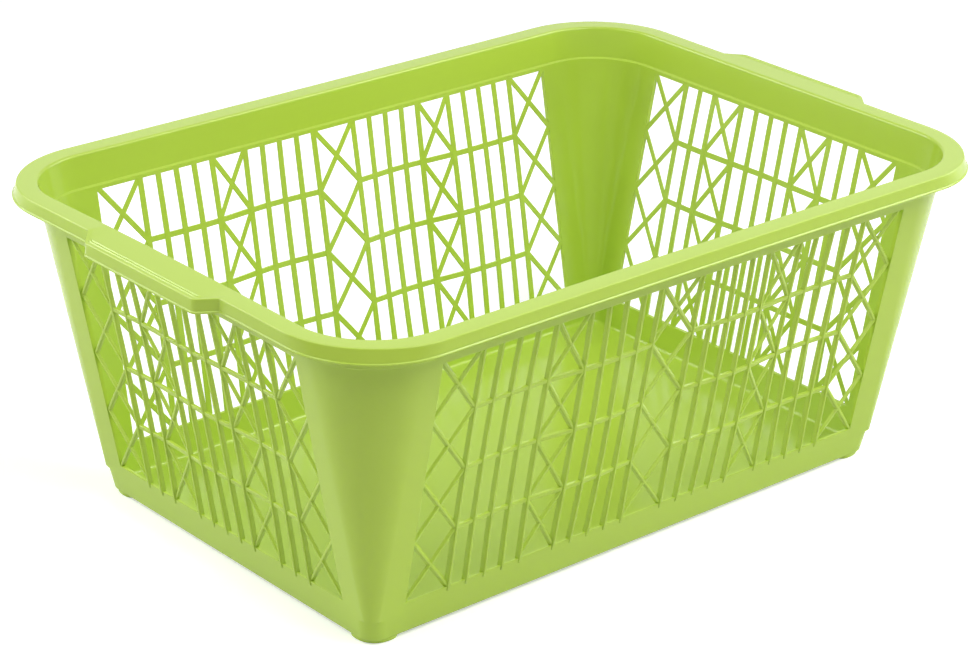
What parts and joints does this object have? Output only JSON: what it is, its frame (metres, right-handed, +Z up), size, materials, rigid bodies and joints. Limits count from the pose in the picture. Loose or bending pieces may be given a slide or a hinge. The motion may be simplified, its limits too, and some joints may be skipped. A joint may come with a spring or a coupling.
{
  "type": "laundry basket",
  "caption": "Rectangular plastic laundry basket with tapering lattice walls, smooth corner posts, a rolled rim and a ledge handle at each end.",
  "frame": {"origin": "on the ground under the middle of the basket", "axes": "+X along the long side towards the right handle, +Y towards the back long wall, +Z up"},
  "size_m": [0.6276, 0.4376, 0.245],
  "materials": {
    "lime_polypropylene": "smooth semi-gloss injection-moulded polypropylene"
  },
  "bodies": {
    "root": {"corner_post_back_left": "lime_polypropylene", "corner_post_back_right": "lime_polypropylene", "corner_post_front_left": "lime_polypropylene", "corner_post_front_right": "lime_polypropylene", "floor": "lime_polypropylene", "foot_back_left": "lime_polypropylene", "foot_back_right": "lime_polypropylene", "foot_front_left": "lime_polypropylene", "foot_front_right": "lime_polypropylene", "handle_left": "lime_polypropylene", "handle_right": "lime_polypropylene", "lattice_back": "lime_polypropylene", "lattice_front": "lime_polypropylene", "lattice_left": "lime_polypropylene", "lattice_right": "lime_polypropylene", "lower_band_back": "lime_polypropylene", "lower_band_front": "lime_polypropylene", "lower_band_left": "lime_polypropylene", "lower_band_right": "lime_polypropylene", "rim_back": "lime_polypropylene", "rim_corner_back_left": "lime_polypropylene", "rim_corner_back_right": "lime_polypropylene", "rim_corner_front_left": "lime_polypropylene", "rim_corner_front_right": "lime_polypropylene", "rim_front": "lime_polypropylene", "rim_left": "lime_polypropylene", "rim_right": "lime_polypropylene", "upper_band_back": "lime_polypropylene", "upper_band_front": "lime_polypropylene", "upper_band_left": "lime_polypropylene", "upper_band_right": "lime_polypropylene"}
  },
  "joints": []
}
